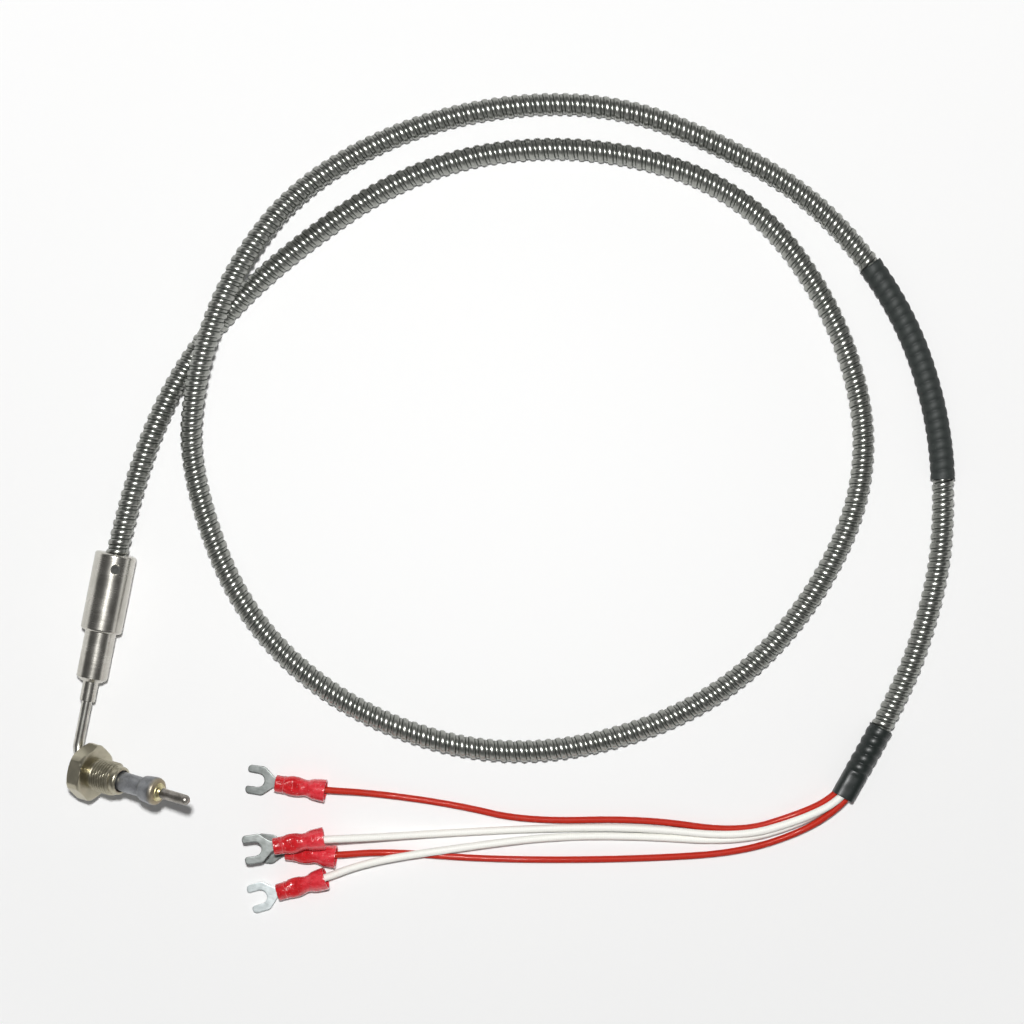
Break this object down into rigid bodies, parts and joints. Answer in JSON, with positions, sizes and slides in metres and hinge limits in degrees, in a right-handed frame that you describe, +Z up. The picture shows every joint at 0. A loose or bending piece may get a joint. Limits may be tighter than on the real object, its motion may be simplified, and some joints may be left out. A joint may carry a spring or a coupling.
{
  "type": "duplex thermocouple probe",
  "caption": "Bent sheathed temperature probe with a captive gland nut, a stepped transition, an armoured hose and insulated leads ending in fork terminals.",
  "frame": {"origin": "on the bench, under the middle of the box of the rigid head: sensing leg, gland nut and transition fitting", "axes": "+Y along the transition fitting towards the hose; +X the way the sensing tip points in plan, rising 27.5 degrees; +Z up from the bench"},
  "size_m": [0.2607, 0.2711, 0.0278],
  "materials": {
    "stainless_sheath": "drawn stainless tube",
    "stainless_turned": "machined stainless",
    "armour": "rolled stainless strip",
    "braze": "silver braze fillet",
    "powder": "compacted powder",
    "positive_alloy": "drawn wire",
    "negative_alloy": "drawn wire",
    "resin": "cast resin",
    "heat_shrink": "heat shrunk sleeve, satin",
    "red_braid": "varnished glass braid",
    "white_braid": "varnished glass braid",
    "tinned_copper": "tin plated",
    "red_sleeve": "translucent moulded sleeve"
  },
  "bodies": {
    "probe": {"armour_hose": "armour", "braze_ring": "braze", "element_wire_red_a": "negative_alloy", "element_wire_red_b": "negative_alloy", "element_wire_white_a": "positive_alloy", "element_wire_white_b": "positive_alloy", "end_boot": "heat_shrink", "grub_screw": "stainless_turned", "hose_socket": "stainless_turned", "junction_bead_a": "positive_alloy", "junction_bead_b": "positive_alloy", "lead_red_a_conductor": "negative_alloy", "lead_red_a_insulation": "red_braid", "lead_red_b_conductor": "negative_alloy", "lead_red_b_insulation": "red_braid", "lead_white_a_conductor": "positive_alloy", "lead_white_a_insulation": "white_braid", "lead_white_b_conductor": "positive_alloy", "lead_white_b_insulation": "white_braid", "mi_sheath": "stainless_sheath", "mid_sleeve": "heat_shrink", "mineral_insulation": "powder", "potting": "resin", "seat_collar": "stainless_turned", "splice_red_a": "tinned_copper", "splice_red_b": "tinned_copper", "splice_white_a": "tinned_copper", "splice_white_b": "tinned_copper", "terminal_red_a_fork": "tinned_copper", "terminal_red_a_sleeve": "red_sleeve", "terminal_red_b_fork": "tinned_copper", "terminal_red_b_sleeve": "red_sleeve", "terminal_white_a_fork": "tinned_copper", "terminal_white_a_sleeve": "red_sleeve", "terminal_white_b_fork": "tinned_copper", "terminal_white_b_sleeve": "red_sleeve", "transition_body": "stainless_turned", "transition_stub": "stainless_turned"},
    "gland_nut": {"gland_nut": "stainless_turned"}
  },
  "joints": [
    {"name": "nut_slide", "type": "slide", "parent": "probe", "child": "gland_nut", "axis": [0.887, 0, 0.4617], "range_m": [0, 0.008]}
  ]
}
